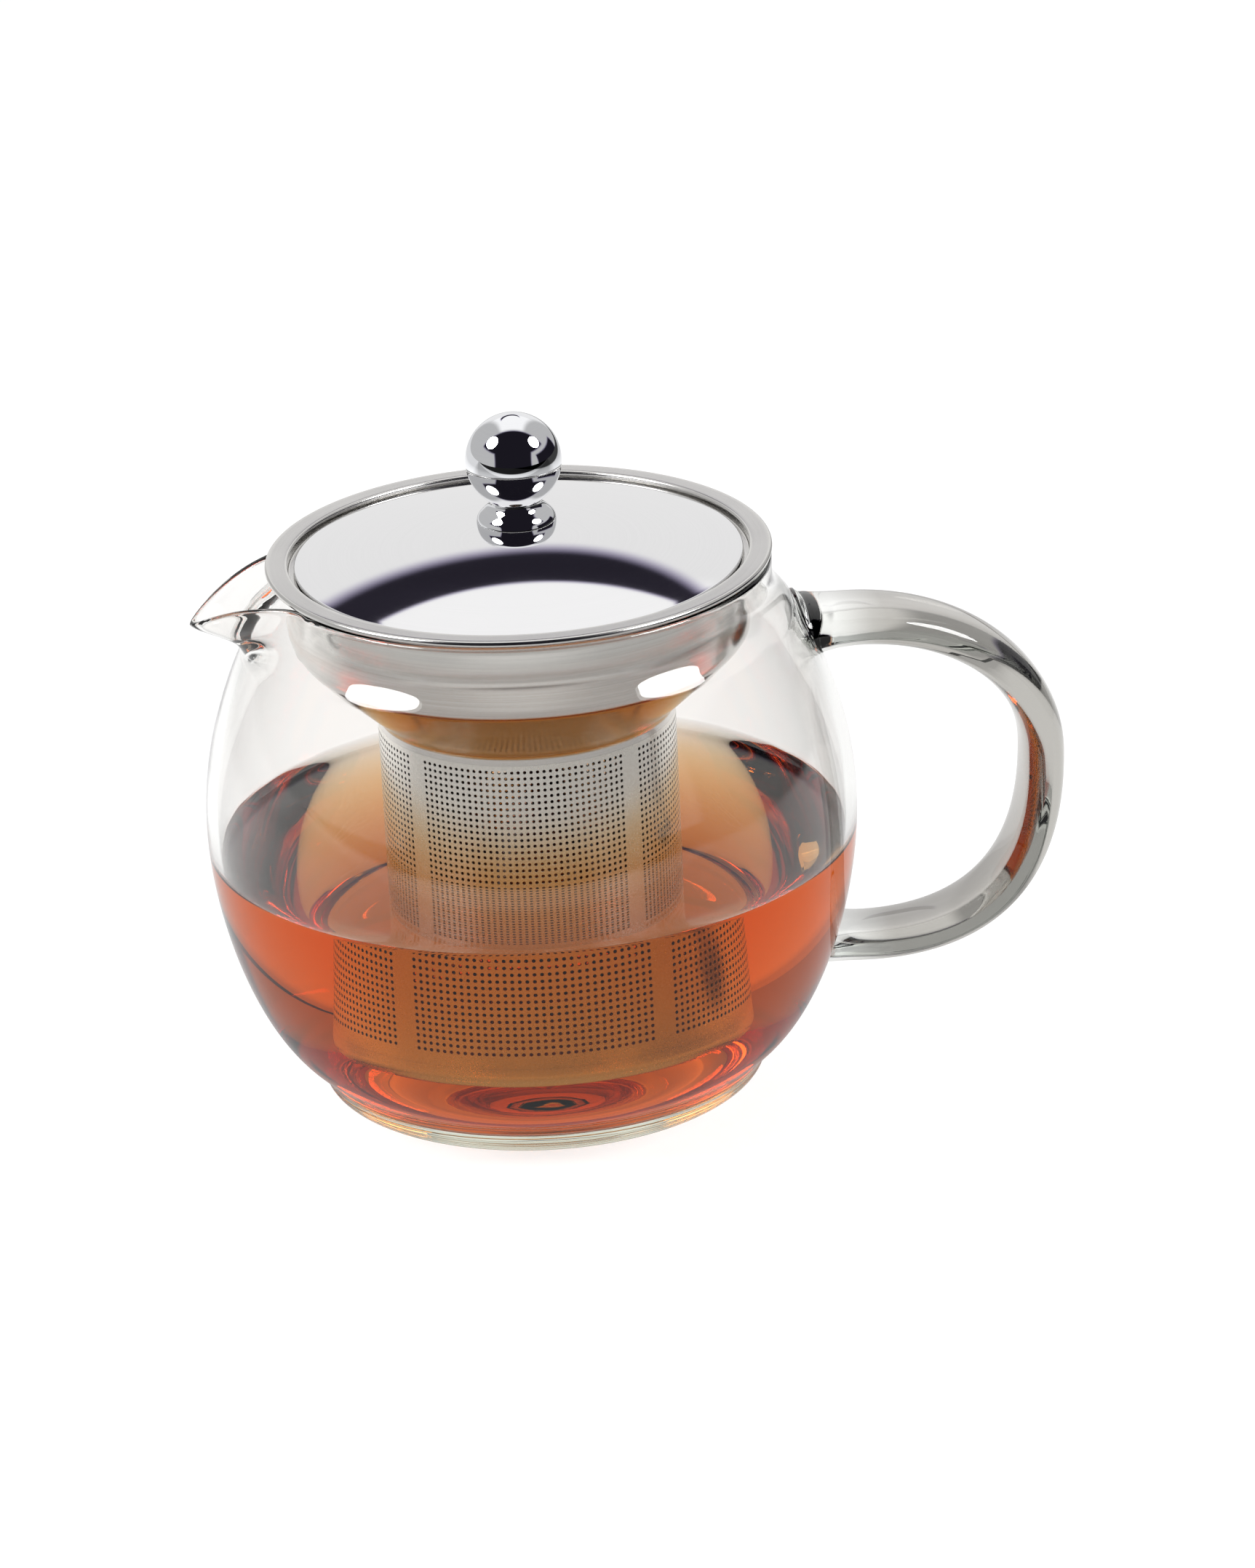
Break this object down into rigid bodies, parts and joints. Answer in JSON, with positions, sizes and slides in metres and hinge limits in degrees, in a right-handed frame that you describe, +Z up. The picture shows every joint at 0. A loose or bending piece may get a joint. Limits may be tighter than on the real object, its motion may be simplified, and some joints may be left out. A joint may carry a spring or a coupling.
{
  "type": "glass teapot with infuser",
  "caption": "Round clear glass teapot with pulled spout and strap handle, lift-out perforated steel infuser hung by its flange, and domed steel lid with ball knob.",
  "frame": {"origin": "centre of the foot's flat underside, on the surface the pot stands on", "axes": "+Z up along the pot's axis, +X towards the handle, -X towards the spout"},
  "size_m": [0.1739, 0.13, 0.1386],
  "materials": {
    "jug_glass": "clear borosilicate glass, fire polished, faint green in thick sections",
    "handle_glass": "solid clear glass strap, fire polished",
    "collar_steel": "stainless steel, fine lines round the wall",
    "basket_steel": "satin stainless steel sheet with a square grid of small round holes in panels",
    "cup_steel": "satin pressed stainless steel",
    "lid_steel": "mirror polished stainless steel",
    "skirt_steel": "satin stainless steel",
    "knob_chrome": "chrome plated, mirror bright",
    "screw_steel": "plain stainless steel",
    "washer_steel": "plain stainless steel",
    "tea": "clear amber-red tea, the contents of the pot and not one of its parts"
  },
  "bodies": {
    "jug": {"glass_jug": "jug_glass", "glass_handle": "handle_glass"},
    "infuser": {"infuser_collar": "collar_steel", "infuser_sleeve": "basket_steel", "infuser_cup": "cup_steel"},
    "lid": {"lid_disc": "lid_steel", "lid_skirt": "skirt_steel", "knob": "knob_chrome", "knob_screw": "screw_steel", "knob_washer": "washer_steel"}
  },
  "joints": [
    {"name": "infuser_lift", "type": "slide", "parent": "jug", "child": "infuser", "axis": [0, 0, 1], "range_m": [0, 0.12]},
    {"name": "lid_lift", "type": "slide", "parent": "infuser", "child": "lid", "axis": [0, 0, 1], "range_m": [0, 0.06]}
  ]
}
